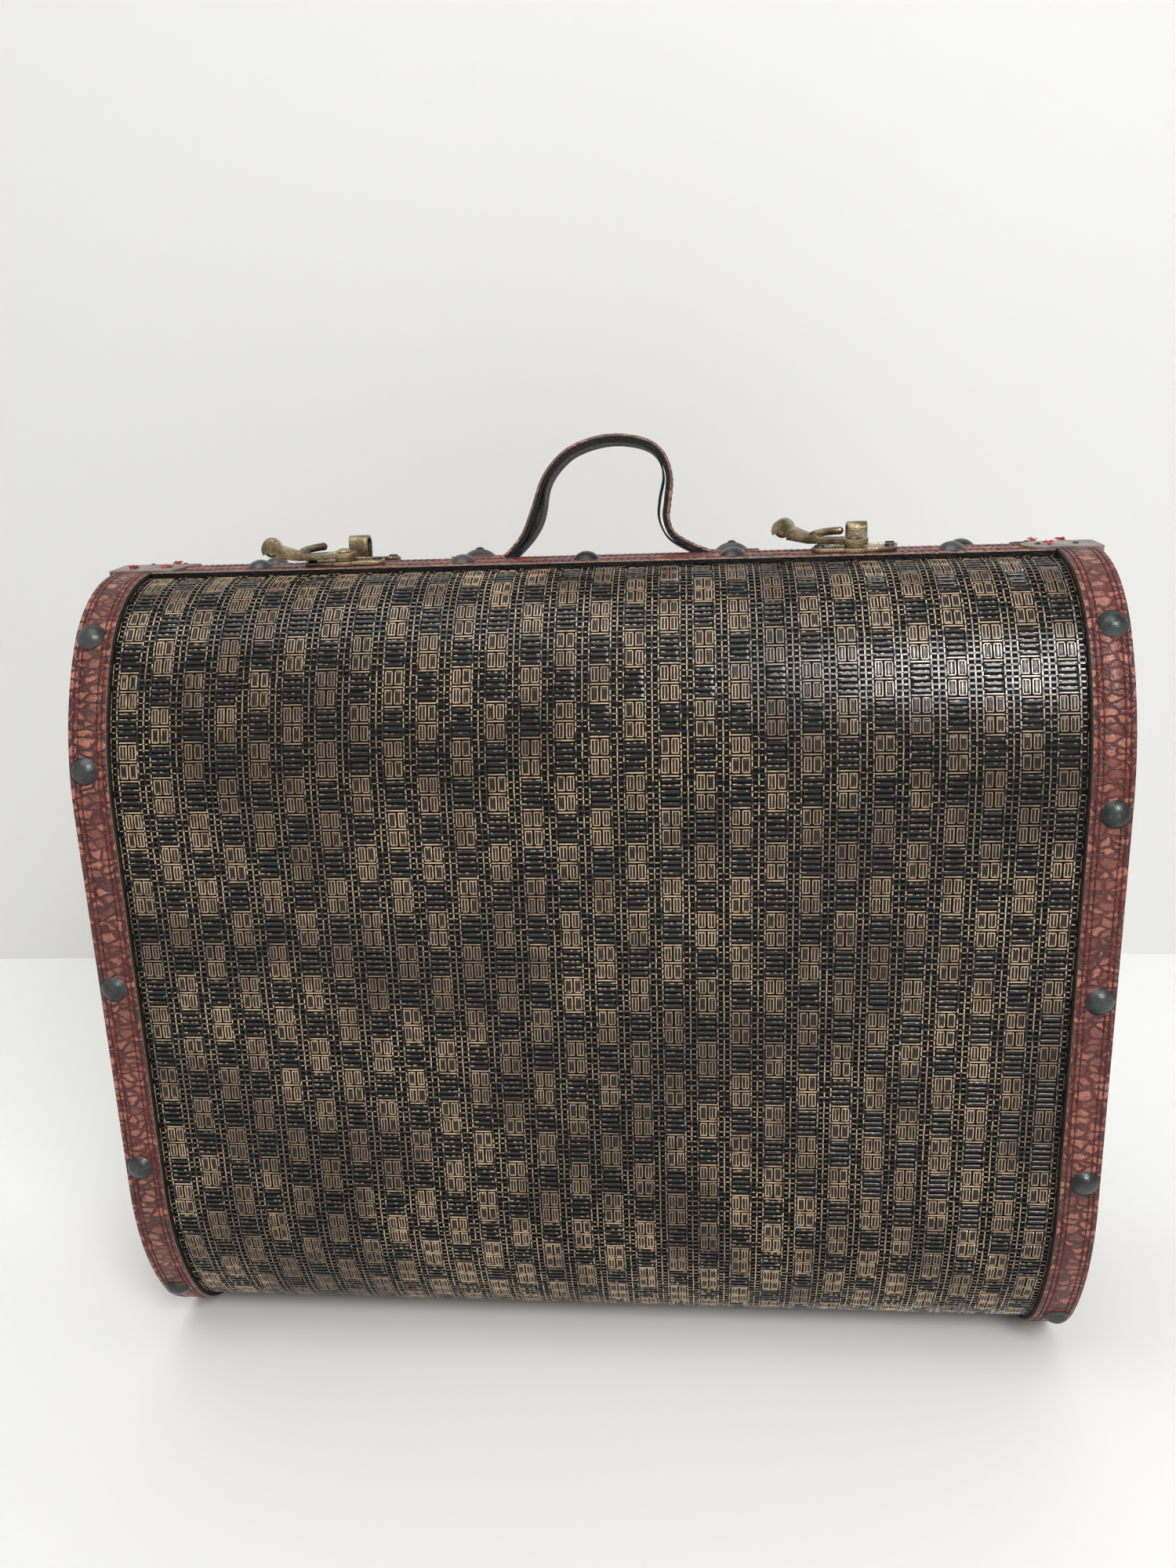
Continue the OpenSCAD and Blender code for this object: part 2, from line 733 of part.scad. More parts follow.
half_nails(front_rim_nails);  // front_nails
on_rim(left_latch_x) horn_plate();  // left_horn_plate
on_rim(right_latch_x) horn_plate();  // right_horn_plate
on_rim(left_latch_x) horn_rivet();  // left_rivet
on_rim(right_latch_x) horn_rivet();  // right_rivet
horn_plate_screws();
on_hinge(-1) hinge_leaf([0]);  // left_hinge_front_leaf
on_hinge(1) hinge_leaf([0]);  // right_hinge_front_leaf
half_hinge_screws();  // front_hinge_screws
horn_at(left_latch_x, left_swing);  // left_horn
horn_at(right_latch_x, right_swing);  // right_horn
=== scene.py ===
import math
import random
import bmesh
import bpy
from mathutils import Matrix, Vector


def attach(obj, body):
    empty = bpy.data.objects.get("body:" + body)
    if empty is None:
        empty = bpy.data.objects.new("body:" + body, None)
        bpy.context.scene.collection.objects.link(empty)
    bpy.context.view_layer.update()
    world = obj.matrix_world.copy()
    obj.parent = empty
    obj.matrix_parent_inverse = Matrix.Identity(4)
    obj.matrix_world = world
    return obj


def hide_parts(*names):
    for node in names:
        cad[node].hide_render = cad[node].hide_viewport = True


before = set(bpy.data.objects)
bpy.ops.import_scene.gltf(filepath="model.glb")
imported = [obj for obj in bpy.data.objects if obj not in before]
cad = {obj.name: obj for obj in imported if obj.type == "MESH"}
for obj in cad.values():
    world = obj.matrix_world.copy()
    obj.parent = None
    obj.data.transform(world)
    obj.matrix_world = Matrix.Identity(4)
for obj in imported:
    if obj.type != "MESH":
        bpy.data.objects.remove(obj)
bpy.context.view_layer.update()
scene = bpy.context.scene
scene.view_settings.view_transform = "Standard"

# Camera. The case was photographed from close by with a wide lens, a little above it and to the right of its middle,
# so its upright edges lean apart. The angles are in radians.
eye = Vector((0.040466, -0.49936, 0.377194))
yaw, pitch, roll = -0.090076, 0.256495, -0.032726
ahead = Vector((math.sin(yaw) * math.cos(pitch), math.cos(yaw) * math.cos(pitch), -math.sin(pitch)))
level = Vector((math.cos(yaw), -math.sin(yaw), 0))
upward = level.cross(ahead)
right_hand = math.cos(roll) * level + math.sin(roll) * upward
crown = math.cos(roll) * upward - math.sin(roll) * level
lens = bpy.data.cameras.new("camera")
lens.sensor_fit = "VERTICAL"
lens.sensor_height = 36
lens.lens = 27.054
lens.clip_start = 0.01
camera = bpy.data.objects.new("camera", lens)
camera.matrix_world = Matrix.Translation(eye) @ Matrix((right_hand, crown, -ahead)).transposed().to_4x4()
scene.collection.objects.link(camera)
scene.camera = camera


# Studio. A pale paper floor and a pale wall close behind, which show only from their front sides, a soft square lamp
# in front at the right, a weaker one overhead, and an even pale room all round.
def colour(red, green, blue):
    """A colour as it looks on a screen, from 0 to 255 a part, made linear for a shader."""
    return tuple((part / 255) ** 2.2 for part in (red, green, blue)) + (1.0,)


def node(tree, kind, inputs=None, **settings):
    """A new node with its settings, and its inputs linked or set by name or number."""
    made = tree.nodes.new(kind)
    for name, value in settings.items():
        setattr(made, name, value)
    for socket, value in (inputs or {}).items():
        if isinstance(value, bpy.types.NodeSocket):
            tree.links.new(value, made.inputs[socket])
        else:
            made.inputs[socket].default_value = value
    return made


def new_material(name, **fixed):
    """A material, its node tree, its Principled shader with the sockets that are the same all over, and its place."""
    material = bpy.data.materials.new(name)
    material.use_nodes = True
    tree = material.node_tree
    shader = tree.nodes["Principled BSDF"]
    for socket, value in fixed.items():
        shader.inputs[socket.replace("_", " ")].default_value = value
    return material, tree, shader, node(tree, "ShaderNodeTexCoord").outputs["Object"]


def mixed(tree, share, first, second):
    """The colour between two colours at a share that changes over the surface."""
    return node(tree, "ShaderNodeMix", {0: share, 6: first, 7: second}, data_type="RGBA").outputs[2]


def ranged(tree, value, low, high, to_low=0.0, to_high=1.0):
    """A value taken smoothly from one range to another."""
    return node(tree, "ShaderNodeMapRange", {"Value": value, "From Min": low, "From Max": high, "To Min": to_low,
        "To Max": to_high}, interpolation_type="SMOOTHSTEP").outputs[0]


def worked_out(tree, operation, *values):
    """The result of one step of arithmetic."""
    return node(tree, "ShaderNodeMath", dict(enumerate(values)), operation=operation).outputs[0]


def bumped(tree, shader, height, distance):
    """Links a height from 0 to 1, over a distance in metres, to the shader's normal."""
    bump = node(tree, "ShaderNodeBump", {"Height": height, "Distance": distance, "Strength": 1.0})
    tree.links.new(bump.outputs[0], shader.inputs["Normal"])


def linked(name, mesh):
    """An object for a mesh, in the scene."""
    made = bpy.data.objects.new(name, mesh)
    scene.collection.objects.link(made)
    return made


def plain_mesh(name, points, edges=(), faces=()):
    """A mesh from points in metres."""
    mesh = bpy.data.meshes.new(name)
    mesh.from_pydata([tuple(point) for point in points], list(edges), list(faces))
    return mesh


def seen_plainly(tree):
    """1 for a ray from the camera, off a shiny surface or through glass, which sees the pale background."""
    ray = node(tree, "ShaderNodeLightPath").outputs
    straight = worked_out(tree, "MAXIMUM", ray["Is Camera Ray"], ray["Is Transmission Ray"])
    return worked_out(tree, "MAXIMUM", straight, ray["Is Glossy Ray"])


backdrop_tone = colour(231, 232, 231)


def stage_surface(name, corners, material_name, patches, dark, light):
    """A flat part of the stage that shows only from its front, and looks evenly pale far from the case."""
    material, tree, shader, place = new_material(material_name, Roughness=0.9)
    tone = node(tree, "ShaderNodeTexNoise", {"Vector": place, "Scale": patches, "Detail": 2.0}).outputs["Fac"]
    tree.links.new(mixed(tree, tone, dark, light), shader.inputs["Base Color"])
    away = node(tree, "ShaderNodeVectorMath", {0: place}, operation="LENGTH").outputs["Value"]
    far_off = worked_out(tree, "MULTIPLY", ranged(tree, away, 0.9, 2.2), seen_plainly(tree))
    pale = node(tree, "ShaderNodeEmission", {"Color": backdrop_tone, "Strength": 1.0}).outputs[0]
    front = node(tree, "ShaderNodeMixShader", {0: far_off, 1: shader.outputs[0], 2: pale}).outputs[0]
    far_side = node(tree, "ShaderNodeNewGeometry").outputs["Backfacing"]
    clear = node(tree, "ShaderNodeBsdfTransparent").outputs[0]
    seen_from_front = node(tree, "ShaderNodeMixShader", {0: far_side, 1: front, 2: clear})
    tree.links.new(seen_from_front.outputs[0], tree.nodes["Material Output"].inputs["Surface"])
    surface = linked(name, plain_mesh(name, corners, (), [(0, 1, 2, 3)]))
    surface.data.materials.append(material)
    return surface


floor_size, floor_z = 12.0, -0.0002
floor_corners = [(x * floor_size, y * floor_size, floor_z) for x, y in ((-1, -1), (1, -1), (1, 1), (-1, 1))]
floor = stage_surface("floor", floor_corners, "floor_paper", 1.5, colour(243, 244, 243), colour(248, 248, 247))
wall_left, wall_right = Vector((-8.0, 0.245, floor_z)), Vector((8.0, 0.527, floor_z))
wall_up = Vector((0, 0, 6.0))
wall_corners = [wall_left, wall_right, wall_right + wall_up, wall_left + wall_up]
wall = stage_surface("wall", wall_corners, "wall_paint", 3.0, colour(228, 228, 227), colour(234, 234, 233))

room = bpy.data.worlds.new("room")
room.use_nodes = True
tree = room.node_tree
fill = node(tree, "ShaderNodeBackground", {"Color": colour(254, 252, 248), "Strength": 0.365})
pale = node(tree, "ShaderNodeBackground", {"Color": backdrop_tone, "Strength": 1.0})
both = node(tree, "ShaderNodeMixShader", {0: seen_plainly(tree), 1: fill.outputs[0], 2: pale.outputs[0]})
tree.links.new(both.outputs[0], tree.nodes["World Output"].inputs[0])
scene.world = room

for name, place_at, aim, size, power in (
        ("lamp_right", (0.62, -1.33, 1.34), (0.1, 0.0, 0.25), 0.66, 21.0),
        ("lamp_overhead", (-0.3, -0.5, 2.0), (0.0, 0.0, 0.1), 1.4, 11.5)):
    lamp = bpy.data.lights.new(name, "AREA")
    lamp.shape = "SQUARE"
    lamp.size = size
    lamp.energy = power
    holder = bpy.data.objects.new(name, lamp)
    holder.matrix_world = (Matrix.Translation(place_at)
        @ (Vector(aim) - Vector(place_at)).to_track_quat("-Z", "Y").to_matrix().to_4x4())
    scene.collection.objects.link(holder)


# Boards. Each half is a bent ply panel with two flat end boards glued in, all bare wood that only shows at the seam
# when the lid is open.
def dress(material, *names):
    """Gives CAD nodes their material."""
    for name in names:
        for slot in cad[name].material_slots:
            slot.material = material


def shader_group(name, inputs, outputs):
    """An empty shader group with number or vector inputs and number outputs, and its two ends."""
    group = bpy.data.node_groups.new(name, "ShaderNodeTree")
    for label, kind in inputs:
        group.interface.new_socket(label, in_out="INPUT", socket_type="NodeSocket" + kind)
    for label in outputs:
        group.interface.new_socket(label, in_out="OUTPUT", socket_type="NodeSocketFloat")
    return group, group.nodes.new("NodeGroupInput").outputs, group.nodes.new("NodeGroupOutput").inputs


age, given, put = shader_group("age_and_dirt", [("Vector", "Vector"), ("Size", "Float")], ["Patches", "Specks"])
coarse = node(age, "ShaderNodeTexNoise", {"Vector": given["Vector"], "Scale": given["Size"], "Detail": 5.0})
fine_size = worked_out(age, "MULTIPLY", given["Size"], 14.0)
fine = node(age, "ShaderNodeTexNoise", {"Vector": given["Vector"], "Scale": fine_size, "Detail": 3.0})
age.links.new(ranged(age, coarse.outputs["Fac"], 0.36, 0.64), put["Patches"])
age.links.new(ranged(age, fine.outputs["Fac"], 0.32, 0.68), put["Specks"])


def aged(tree, place, size):
    """Patches and specks of age over a surface, at a number of patches a metre."""
    return node(tree, "ShaderNodeGroup", {"Vector": place, "Size": size}, node_tree=age).outputs


bare_ply, tree, shader, place = new_material("bare_ply", Roughness=0.7)
long_grain = node(tree, "ShaderNodeMapping", {"Vector": place, "Scale": (6.0, 60.0, 60.0)}).outputs[0]
grain = node(tree, "ShaderNodeTexNoise", {"Vector": long_grain, "Scale": 4.0, "Detail": 6.0, "Distortion": 0.6})
tree.links.new(mixed(tree, grain.outputs["Fac"], colour(150, 112, 70), colour(203, 168, 120)),
    shader.inputs["Base Color"])
bumped(tree, shader, grain.outputs["Fac"], 0.0003)
dress(bare_ply, "front_panel", "front_left_end", "front_right_end", "back_panel", "back_left_end", "back_right_end")


# Lining. Thin mottled paper pasted over the boards inside each half, browned in patches and specked with age. It shows
# only when the lid is open.
def aged_material(name, patches, dark, light, rough=None, bump=None, specks=None, **fixed):
    """A material in patches of two colours, with specks in its colour, roughness and bump where these are given."""
    material, tree, shader, place = new_material(name, **fixed)
    age_here = aged(tree, place, patches)
    tone = mixed(tree, age_here["Patches"], dark, light)
    if specks:
        first, last, share, speck = specks
        tone = mixed(tree, ranged(tree, age_here["Specks"], first, last, 0.0, share), tone, speck)
    tree.links.new(tone, shader.inputs["Base Color"])
    if rough:
        tree.links.new(ranged(tree, age_here["Specks"], 0.0, 1.0, *rough), shader.inputs["Roughness"])
    if bump:
        bumped(tree, shader, age_here["Specks"], bump)
    return material


lining_paper = aged_material("lining_paper", 18.0, colour(176, 154, 118), colour(204, 188, 156), bump=0.0001,
    specks=(0.55, 1.0, 0.35, colour(112, 88, 60)), Roughness=0.85)
dress(lining_paper, "front_lining", "back_lining")

# Covers. Black leatherette glued over the boards, embossed like a basket weave of rings and ribs, with tan paint rubbed
# over its raised lines and worn off here and there. Small light tan marks along the upper edges of the ribs and on the
# ties are painted glints of light on the raised black.
mm = 0.001
case_w, case_h, half_depth, seam = 400.0, 343.4, 75.0, 0.3
band_t, band_w, rim_w = 2.8, 16.0, 16.0
slope = math.radians(5)
crown_r, curve_h, front_r = 54.0, 89.0, 122.7
crown_c = (-rim_w + crown_r * math.sin(slope), case_h - crown_r * math.cos(slope))
front_c = (front_r - half_depth, case_h - curve_h)
bevel_run, bevel = 3.285, math.tan(math.radians(35))
arc_step, straight_steps = 2.0, 60


def case_line(inset, front):
    """Places and outward normals of a half's profile at an inset in mm, from its bottom seam up to its top seam."""
    join = math.atan2(crown_c[1] - front_c[1], crown_c[0] - front_c[0])
    rise = []
    arcs = ((front_c, front_r, math.pi, join), (crown_c, crown_r, join, math.pi / 2 + slope))
    for centre, radius, first, last in arcs:
        count = max(2, round(abs(last - first) * radius / arc_step))
        for i in range(1 if rise else 0, count + 1):
            turn = first + (last - first) * i / count
            rise.append((centre[0] + (radius - inset) * math.cos(turn), centre[1] + (radius - inset) * math.sin(turn),
                math.cos(turn), math.sin(turn)))
    levels = [curve_h + (case_h - 2 * curve_h) * i / straight_steps for i in range(1, straight_steps)]
    straight = [(inset - half_depth, z, -1.0, 0.0) for z in levels]
    lower = [(y, case_h - z, ny, -nz) for y, z, ny, nz in reversed(rise)]
    top_z = case_h + (rim_w - seam) * math.tan(slope) - inset / math.cos(slope)
    line = [(-seam, inset * math.cos(slope), 0.0, -1.0)] + lower + straight + rise
    line += [(-seam, top_z, -math.sin(slope), math.cos(slope))]
    sign = 1 if front else -1
    return [(Vector((0, sign * y, z)) * mm, Vector((0, sign * ny, nz))) for y, z, ny, nz in line]


def geometry_tree(name, inputs):
    """An empty geometry tree with named inputs, and its two ends."""
    tree = bpy.data.node_groups.new(name, "GeometryNodeTree")
    tree.interface.new_socket("Geometry", in_out="INPUT", socket_type="NodeSocketGeometry")
    for label, kind in inputs:
        tree.interface.new_socket(label, in_out="INPUT", socket_type="NodeSocket" + kind)
    tree.interface.new_socket("Geometry", in_out="OUTPUT", socket_type="NodeSocketGeometry")
    return tree, tree.nodes.new("NodeGroupInput").outputs, tree.nodes.new("NodeGroupOutput").inputs


def grown(name, host, tree, **values):
    """The plain mesh piece that a geometry tree makes from a host mesh."""
    holder = linked(name + "_host", host)
    modifier = holder.modifiers.new("tree", "NODES")
    modifier.node_group = tree
    for item in tree.interface.items_tree:
        if item.in_out == "INPUT" and item.name in values:
            modifier[item.identifier] = values[item.name]
    graph = bpy.context.evaluated_depsgraph_get()
    mesh = bpy.data.meshes.new_from_object(holder.evaluated_get(graph), depsgraph=graph)
    bpy.data.objects.remove(holder)
    return linked(name, mesh)


def vector_step(tree, operation, *values, scale=None):
    """One step of vector arithmetic in a tree."""
    made = node(tree, "ShaderNodeVectorMath", dict(enumerate(values)), operation=operation)
    if scale is not None:
        tree.links.new(scale, made.inputs["Scale"])
    return made.outputs[0]


emboss, given, put = geometry_tree("emboss", [("Spots", "Object"), ("Stamp", "Object"), ("Area", "Object"),
    ("Line", "Object"), ("Side", "Vector"), ("Field", "Vector"), ("Across", "Int"), ("Along", "Int"),
    ("Middle", "Float"), ("Jitter", "Vector"), ("Worn", "Float"), ("Seed", "Int"), ("Finish", "Material")])


def shape_of(tree, socket):
    """The geometry of an object that a tree is given."""
    return node(tree, "GeometryNodeObjectInfo", {"Object": socket}).outputs["Geometry"]


field = node(emboss, "ShaderNodeSeparateXYZ", {0: given["Field"]}).outputs
repeats = node(emboss, "GeometryNodeMeshGrid", {"Size X": field[0], "Size Y": field[1], "Vertices X": given["Across"],
    "Vertices Y": given["Along"]}).outputs["Mesh"]
spread = node(emboss, "GeometryNodeInstanceOnPoints", {"Points": repeats, "Instance": shape_of(emboss, given["Spots"])})
spots = node(emboss, "GeometryNodeRealizeInstances", {0: spread.outputs[0]}).outputs[0]
reach = node(emboss, "GeometryNodeProximity", {0: shape_of(emboss, given["Area"])}, target_element="FACES")
outside = worked_out(emboss, "GREATER_THAN", reach.outputs["Distance"], 0.0004)
kept = node(emboss, "GeometryNodeDeleteGeometry", {"Geometry": spots, "Selection": outside}, domain="POINT").outputs[0]
chance = node(emboss, "FunctionNodeRandomValue", {"Seed": given["Seed"]}, data_type="FLOAT").outputs[1]
gone = worked_out(emboss, "LESS_THAN", chance, given["Worn"])
kept = node(emboss, "GeometryNodeDeleteGeometry", {"Geometry": kept, "Selection": gone}, domain="POINT").outputs[0]
less = vector_step(emboss, "MULTIPLY", given["Jitter"], (-1.0, -1.0, -1.0))
shift = node(emboss, "FunctionNodeRandomValue", {0: less, 1: given["Jitter"], "Seed": given["Seed"]},
    data_type="FLOAT_VECTOR").outputs[0]
moved = node(emboss, "GeometryNodeSetPosition", {"Geometry": kept, "Offset": shift}).outputs[0]
size = node(emboss, "GeometryNodeInputNamedAttribute", {"Name": "size"}, data_type="FLOAT_VECTOR").outputs[0]
uneven = node(emboss, "FunctionNodeRandomValue", {0: (0.94, 0.95, 0.9), 1: (1.07, 1.05, 1.1), "Seed": given["Seed"]},
    data_type="FLOAT_VECTOR").outputs[0]
size = vector_step(emboss, "MULTIPLY", size, uneven)
stamped = node(emboss, "GeometryNodeInstanceOnPoints", {"Points": moved, "Instance": shape_of(emboss, given["Stamp"]),
    "Scale": size}).outputs[0]
relief = node(emboss, "GeometryNodeRealizeInstances", {0: stamped}).outputs[0]
flat = node(emboss, "ShaderNodeSeparateXYZ", {0: node(emboss, "GeometryNodeInputPosition").outputs[0]}).outputs
line = node(emboss, "GeometryNodeMeshToCurve", {"Mesh": shape_of(emboss, given["Line"])}).outputs[0]
along = worked_out(emboss, "ADD", flat[1], given["Middle"])
on_line = node(emboss, "GeometryNodeSampleCurve", {"Curves": line, "Length": along}, mode="LENGTH").outputs
out = vector_step(emboss, "CROSS_PRODUCT", given["Side"], on_line["Tangent"])
sideways = vector_step(emboss, "SCALE", given["Side"], scale=flat[0])
raised = vector_step(emboss, "SCALE", out, scale=flat[2])
laid = vector_step(emboss, "ADD", on_line["Position"], vector_step(emboss, "ADD", sideways, raised))
wrapped = node(emboss, "GeometryNodeSetPosition", {"Geometry": relief, "Position": laid}).outputs[0]
painted = node(emboss, "GeometryNodeSetMaterial", {"Geometry": wrapped, "Material": given["Finish"]}).outputs[0]
emboss.links.new(painted, put[0])

repeat_w, repeat_h = 26.28, 27.5
column_w, row = repeat_w / 2, repeat_h / 12
line_w, sunk = 0.42, 0.15
plank_u, plank_v, plank_w, plank_h = 1.85, 3.75, 2.9, 5.7
core_w, core_h, plate_w, plate_h, sill_l, sill_w = 0.36, 5.0, 2.0, 4.9, 7.6, 0.5
rib_l, rib_w, rail_u, rail_w, rail_l = 7.2, 1.35, 4.1, 0.9, 2.2 * row
dash_w, dash_l, short_dash_l, tie_out, tie_w, tie_h = 0.5, 2.2, 1.8, 1.3, 2.4, 0.9


def ring(u, v, w, h):
    """The four strokes round one raised plank, each as middle and size."""
    return [(u - (w - line_w) / 2, v, line_w, h), (u + (w - line_w) / 2, v, line_w, h),
        (u, v - (h - line_w) / 2, w - line_w, line_w), (u, v + (h - line_w) / 2, w - line_w, line_w)]


draw = random.Random(7)
# flecks: light tan marks along the upper edge of each rib and on each tie, painted glints of light on the raised black.
strokes, plates, ribs, ties, dashes, flecks = [], [], [], [], [], []
for column in (0, 1):
    u0, v0 = column * column_w - column_w / 2, column * repeat_h / 2 - repeat_h / 4
    for u in (-plank_u, plank_u):
        for v in (-plank_v, plank_v):
            strokes += ring(u0 + u, v0 + v, plank_w, plank_h) + [(u0 + u, v0 + v, core_w, core_h)]
            plates.append((u0 + u, v0 + v, plate_w, plate_h))
    strokes += [(u0, v0 + v, sill_l, sill_w) for v in (-2 * plank_v, 0.0, 2 * plank_v)]
    for i in range(5):
        v = v0 + repeat_h / 2 + (i - 2) * row
        ribs.append((u0, v, rib_l, rib_w))
        flecks += [(u0 + u + draw.uniform(-0.5, 0.5), v + rib_w / 3, draw.uniform(0.8, 2.2), 0.34)
            for u in (-2.4, 0.0, 2.5) if draw.random() < 0.85]
    for i in range(6):
        v = v0 + (2 * i + 1) * row - repeat_h / 2
        ribs += [(u0 + u, v, rail_w, rail_l) for u in (-rail_u, rail_u, column_w / 2)]
    for i in range(12):
        v = (i + 0.5) * row - repeat_h / 2
        dashes.append((u0 + column_w / 2, v0 + v, dash_w, dash_l))
        for u in (-rail_u, rail_u):
            if abs(v) < 8 or draw.random() < 0.75:
                dashes.append((u0 + u, v0 + v, dash_w, short_dash_l))
            ties.append((u0 + u * tie_out, v0 + v + row / 2, tie_w, tie_h))
            flecks.append((u0 + u * tie_out, v0 + v + row / 2, draw.uniform(0.9, 1.6), 0.36))


def spots_object(name, places, height):
    """Loose points at the middles of marks, each with its size."""
    mesh = plain_mesh(name, [Vector((u, v, -sunk)) * mm for u, v, w, h in places])
    sizes = mesh.attributes.new("size", "FLOAT_VECTOR", "POINT")
    for i, (u, v, w, h) in enumerate(places):
        sizes.data[i].vector = Vector((w, h, height + sunk)) * mm
    return linked(name, mesh)


def stamp_object(name, levels):
    """A low raised bar, one unit long, wide and high, that narrows towards its top by levels of share and height."""
    points = [(x * share, y * share, z) for share, z in levels for x, y in
        ((-0.5, -0.5), (0.5, -0.5), (0.5, 0.5), (-0.5, 0.5))]
    sides = [(4 * k + i, 4 * k + (i + 1) % 4, 4 * k + 4 + (i + 1) % 4, 4 * k + 4 + i)
        for k in range(len(levels) - 1) for i in range(4)]
    top = len(points) - 4
    return linked(name, plain_mesh(name, points, (), [tuple(range(top, top + 4))] + sides))


block = stamp_object("block", ((1.0, 0.0), (0.86, 1.0)))
bar = stamp_object("bar", ((1.0, 0.0), (0.94, 0.7), (0.68, 1.0)))
stamps = {"strokes": block, "plates": bar, "ribs": bar, "ties": block, "dashes": block, "flecks": block}
heights = {"strokes": 0.3, "plates": 0.27, "ribs": 0.34, "ties": 0.32, "dashes": 0.4, "flecks": 0.39}
marks = {part: spots_object(part + "_spots", spots, heights[part]) for part, spots in (("strokes", strokes),
    ("plates", plates), ("ribs", ribs), ("ties", ties), ("dashes", dashes), ("flecks", flecks))}

# The ground of the cover, between and under the raised marks, is the leatherette's own black, kept dull with a low
# specular as painted shade in the sunken pits.
cover_black = aged_material("cover_black", 30.0, colour(11, 9, 8), colour(20, 16, 13), (0.55, 0.75), 0.00015,
    Specular_IOR_Level=0.12)
dress(cover_black, "front_cover", "front_left_end_cover", "front_right_end_cover",
    "back_cover", "back_left_end_cover", "back_right_end_cover")

rib_black = aged_material("rib_black", 45.0, colour(10, 9, 9), colour(20, 17, 15), (0.17, 0.26), 0.00003,
    Specular_IOR_Level=0.5)
plate_brown = aged_material("plate_brown", 45.0, colour(26, 19, 14), colour(44, 32, 24), (0.24, 0.34),
    Specular_IOR_Level=0.35)
line_tan = aged_material("line_tan", 24.0, colour(122, 99, 79), colour(194, 166, 133), (0.2, 0.34),
    specks=(0.45, 0.9, 0.6, colour(86, 66, 48)), Specular_IOR_Level=0.95)
finishes = {"strokes": line_tan, "plates": plate_brown, "ribs": rib_black, "ties": rib_black, "dashes": line_tan,
    "flecks": line_tan}
# Shares of marks left out at random: worn paint among the dashes, gaps among the painted glints.
wear_and_glint_gaps = {"strokes": 0.0, "plates": 0.0, "ribs": 0.0, "ties": 0.0, "dashes": 0.1, "flecks": 0.2}


def line_length(points):
    """The length of a line of points."""
    return sum((b - a).length for a, b in zip(points, points[1:]))


def embossed(name, body, points, side, area, across, along_count, seed):
    """The raised parts of one cover, pressed along a line of points and kept inside an area of the flat sheet."""
    pairs = [(i, i + 1) for i in range(len(points) - 1)]
    line_object = linked(name + "_line", plain_mesh(name + "_line", points, pairs))
    flat_area = [Vector((u, v, -sunk)) * mm for u, v in area]
    area_object = linked(name + "_area", plain_mesh(name + "_area", flat_area, (), [tuple(range(len(area)))]))
    field_size = ((across - 1) * repeat_w * mm, (along_count - 1) * repeat_h * mm, 0.0)
    for part in marks:
        piece = grown(name + "_" + part, plain_mesh(name, []), emboss, Spots=marks[part], Stamp=stamps[part],
            Area=area_object, Line=line_object, Side=side, Field=field_size, Across=across, Along=along_count,
            Middle=line_length(points) / 2, Jitter=(0.0001, 0.0001, 0.00003), Worn=wear_and_glint_gaps[part], Seed=seed,
            Finish=finishes[part])
        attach(piece, body)
    bpy.data.objects.remove(line_object)
    bpy.data.objects.remove(area_object)


for half, side, seed in (("front", 1, 3), ("back", -1, 11)):
    points = [point for point, normal in case_line(band_t, half == "front")]
    wide, tall = case_w / 2 - band_w - 0.4, line_length(points) / mm / 2 - rim_w - 0.6
    embossed(half + "_cover", half + "_half", points, (float(side), 0.0, 0.0),
        [(-wide, -tall), (wide, -tall), (wide, tall), (-wide, tall)], 15, 16, seed)
    outline = [(point.y / mm, point.z / mm - case_h / 2) for point, normal in case_line(band_t + 1.3, half == "front")]
    outline = [(y, z) for y, z in outline if abs(y) > rim_w + 0.6]
    for end, out_x in (("left", -1), ("right", 1)):
        points = [Vector((out_x * case_w / 2, 0, z)) * mm for z in (0.0, case_h)]
        embossed(half + "_" + end + "_end", half + "_half", points, (0.0, float(out_x), 0.0),
            [(y * out_x, z) for y, z in outline], 7, 14, seed + 1)

# Bands. Strips of thick red-brown leather on a black backing, bent round each half beside the ends and glued,
# sewn with two rows of dark thread along each edge.
hide, given, put = shader_group("crackled_hide", [("Vector", "Vector"), ("Cells", "Float")],
    ["Cracks", "Scales", "Grain"])
warp = node(hide, "ShaderNodeTexNoise", {"Vector": given["Vector"], "Scale": 160.0, "Detail": 3.0}).outputs["Color"]
drift = vector_step(hide, "MULTIPLY", vector_step(hide, "SUBTRACT", warp, (0.5, 0.5, 0.5)), (0.0045, 0.0045, 0.0045))
bent = vector_step(hide, "ADD", given["Vector"], drift)
long_cells = vector_step(hide, "MULTIPLY", bent, (0.62, 1.0, 1.15))
edges = node(hide, "ShaderNodeTexVoronoi", {"Vector": long_cells, "Scale": given["Cells"]}, feature="DISTANCE_TO_EDGE")
scales = node(hide, "ShaderNodeTexVoronoi", {"Vector": long_cells, "Scale": given["Cells"]}, feature="F1")
thin = node(hide, "ShaderNodeTexVoronoi", {"Vector": bent, "Scale": worked_out(hide, "MULTIPLY", given["Cells"], 3.1)},
    feature="DISTANCE_TO_EDGE")
pores = node(hide, "ShaderNodeTexNoise", {"Vector": given["Vector"], "Scale": 1400.0, "Detail": 3.0}).outputs["Fac"]
deep = ranged(hide, edges.outputs["Distance"], 0.0, 0.08, 1.0, 0.0)
slight = ranged(hide, thin.outputs["Distance"], 0.0, 0.06, 0.45, 0.0)
hide.links.new(worked_out(hide, "MAXIMUM", deep, slight), put["Cracks"])
